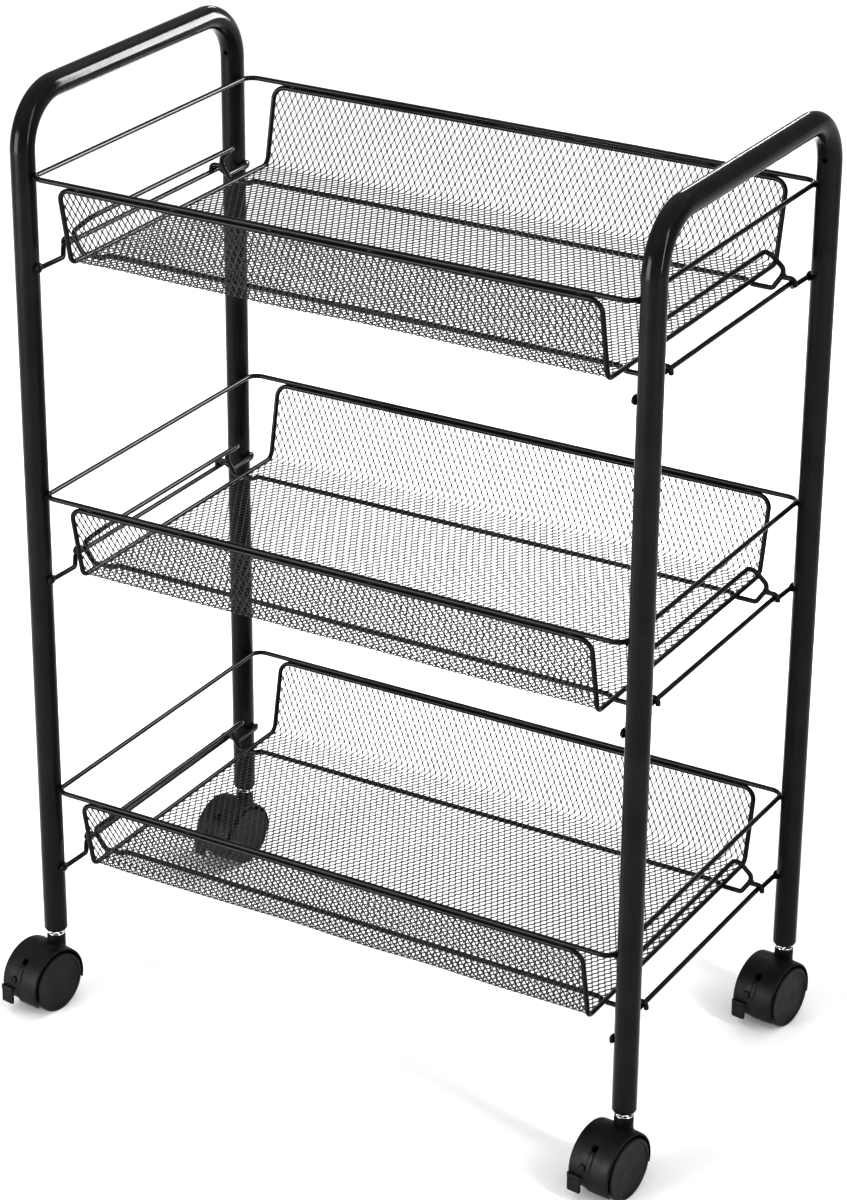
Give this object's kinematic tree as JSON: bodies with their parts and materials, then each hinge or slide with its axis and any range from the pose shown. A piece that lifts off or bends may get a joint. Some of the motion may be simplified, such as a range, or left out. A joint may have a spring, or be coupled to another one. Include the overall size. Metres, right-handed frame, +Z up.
{
  "type": "rolling pantry cart",
  "caption": "Tall rolling pantry cart: black tubular side hoops with handles carry tiered mesh baskets on wire frames and stand on twin-wheel swivel casters with brake tabs.",
  "frame": {"origin": "on the floor under the middle of the bounding box of the cart, with the casters as they stand at rest", "axes": "+Z up, X along the baskets from the left hoop to the right hoop, the front of the cart faces -Y"},
  "size_m": [0.4628, 0.2836, 0.632],
  "materials": {
    "black_powder_coat": "gloss black powder coat on steel tube and wire",
    "black_mesh": "satin black coat on expanded steel mesh",
    "socket_plastic": "black nylon insert",
    "caster_plastic": "satin moulded nylon, very dark grey",
    "wheel_plastic": "satin moulded wheel, dark grey",
    "chrome": "bright chrome plate",
    "axle_steel": "plain steel pin"
  },
  "bodies": {
    "frame": {"side_hoop_left": "black_powder_coat", "side_hoop_right": "black_powder_coat", "basket_rim_bottom": "black_powder_coat", "mesh_tray_bottom": "black_mesh", "mesh_edge_wire_bottom": "black_powder_coat", "support_frame_bottom": "black_powder_coat", "cross_rod_left_bottom": "black_powder_coat", "cross_rod_right_bottom": "black_powder_coat", "basket_rim_middle": "black_powder_coat", "mesh_tray_middle": "black_mesh", "mesh_edge_wire_middle": "black_powder_coat", "support_frame_middle": "black_powder_coat", "cross_rod_left_middle": "black_powder_coat", "cross_rod_right_middle": "black_powder_coat", "basket_rim_top": "black_powder_coat", "mesh_tray_top": "black_mesh", "mesh_edge_wire_top": "black_powder_coat", "support_frame_top": "black_powder_coat", "cross_rod_left_top": "black_powder_coat", "cross_rod_right_top": "black_powder_coat", "stem_socket_front_left": "socket_plastic", "caster_front_left_stem": "chrome", "stem_socket_front_right": "socket_plastic", "caster_front_right_stem": "chrome", "stem_socket_back_left": "socket_plastic", "caster_back_left_stem": "chrome", "stem_socket_back_right": "socket_plastic", "caster_back_right_stem": "chrome"},
    "caster_front_left": {"caster_front_left_housing": "caster_plastic", "caster_front_left_axle": "axle_steel"},
    "caster_front_left_wheel_left": {"caster_front_left_wheel_left": "wheel_plastic"},
    "caster_front_left_wheel_right": {"caster_front_left_wheel_right": "wheel_plastic"},
    "caster_front_left_brake": {"caster_front_left_brake": "caster_plastic"},
    "caster_front_right": {"caster_front_right_housing": "caster_plastic", "caster_front_right_axle": "axle_steel"},
    "caster_front_right_wheel_left": {"caster_front_right_wheel_left": "wheel_plastic"},
    "caster_front_right_wheel_right": {"caster_front_right_wheel_right": "wheel_plastic"},
    "caster_front_right_brake": {"caster_front_right_brake": "caster_plastic"},
    "caster_back_left": {"caster_back_left_housing": "caster_plastic", "caster_back_left_axle": "axle_steel"},
    "caster_back_left_wheel_left": {"caster_back_left_wheel_left": "wheel_plastic"},
    "caster_back_left_wheel_right": {"caster_back_left_wheel_right": "wheel_plastic"},
    "caster_back_left_brake": {"caster_back_left_brake": "caster_plastic"},
    "caster_back_right": {"caster_back_right_housing": "caster_plastic", "caster_back_right_axle": "axle_steel"},
    "caster_back_right_wheel_left": {"caster_back_right_wheel_left": "wheel_plastic"},
    "caster_back_right_wheel_right": {"caster_back_right_wheel_right": "wheel_plastic"},
    "caster_back_right_brake": {"caster_back_right_brake": "caster_plastic"}
  },
  "joints": [
    {"name": "front_left_swivel", "type": "hinge", "parent": "frame", "child": "caster_front_left", "pos_m": [-0.21108, -0.10235, 0.045], "axis": [0, 0, 1], "continuous": true},
    {"name": "front_left_wheel_left_spin", "type": "hinge", "parent": "caster_front_left", "child": "caster_front_left_wheel_left", "pos_m": [-0.22241, -0.1147, 0.0205], "axis": [0.9903, -0.1392, 0], "continuous": true},
    {"name": "front_left_wheel_right_spin", "type": "hinge", "parent": "caster_front_left", "child": "caster_front_left_wheel_right", "pos_m": [-0.20359, -0.11734, 0.0205], "axis": [0.9903, -0.1392, 0], "continuous": true},
    {"name": "front_left_brake_press", "type": "hinge", "parent": "caster_front_left", "child": "caster_front_left_brake", "pos_m": [-0.22507, -0.13725, 0.01625], "axis": [0.9903, -0.1392, 0], "range_deg": [0, 16]},
    {"name": "front_right_swivel", "type": "hinge", "parent": "frame", "child": "caster_front_right", "pos_m": [0.21492, -0.10235, 0.045], "axis": [0, 0, 1], "continuous": true},
    {"name": "front_right_wheel_left_spin", "type": "hinge", "parent": "caster_front_right", "child": "caster_front_right_wheel_left", "pos_m": [0.20359, -0.1147, 0.0205], "axis": [0.9903, -0.1392, 0], "continuous": true},
    {"name": "front_right_wheel_right_spin", "type": "hinge", "parent": "caster_front_right", "child": "caster_front_right_wheel_right", "pos_m": [0.22241, -0.11734, 0.0205], "axis": [0.9903, -0.1392, 0], "continuous": true},
    {"name": "front_right_brake_press", "type": "hinge", "parent": "caster_front_right", "child": "caster_front_right_brake", "pos_m": [0.20093, -0.13725, 0.01625], "axis": [0.9903, -0.1392, 0], "range_deg": [0, 16]},
    {"name": "back_left_swivel", "type": "hinge", "parent": "frame", "child": "caster_back_left", "pos_m": [-0.21108, 0.12965, 0.045], "axis": [0, 0, 1], "continuous": true},
    {"name": "back_left_wheel_left_spin", "type": "hinge", "parent": "caster_back_left", "child": "caster_back_left_wheel_left", "pos_m": [-0.22241, 0.11731, 0.0205], "axis": [0.9903, -0.1392, 0], "continuous": true},
    {"name": "back_left_wheel_right_spin", "type": "hinge", "parent": "caster_back_left", "child": "caster_back_left_wheel_right", "pos_m": [-0.20359, 0.11466, 0.0205], "axis": [0.9903, -0.1392, 0], "continuous": true},
    {"name": "back_left_brake_press", "type": "hinge", "parent": "caster_back_left", "child": "caster_back_left_brake", "pos_m": [-0.22507, 0.09475, 0.01625], "axis": [0.9903, -0.1392, 0], "range_deg": [0, 16]},
    {"name": "back_right_swivel", "type": "hinge", "parent": "frame", "child": "caster_back_right", "pos_m": [0.21492, 0.12965, 0.045], "axis": [0, 0, 1], "continuous": true},
    {"name": "back_right_wheel_left_spin", "type": "hinge", "parent": "caster_back_right", "child": "caster_back_right_wheel_left", "pos_m": [0.20359, 0.11731, 0.0205], "axis": [0.9903, -0.1392, 0], "continuous": true},
    {"name": "back_right_wheel_right_spin", "type": "hinge", "parent": "caster_back_right", "child": "caster_back_right_wheel_right", "pos_m": [0.22241, 0.11466, 0.0205], "axis": [0.9903, -0.1392, 0], "continuous": true},
    {"name": "back_right_brake_press", "type": "hinge", "parent": "caster_back_right", "child": "caster_back_right_brake", "pos_m": [0.20093, 0.09475, 0.01625], "axis": [0.9903, -0.1392, 0], "range_deg": [0, 16]}
  ]
}
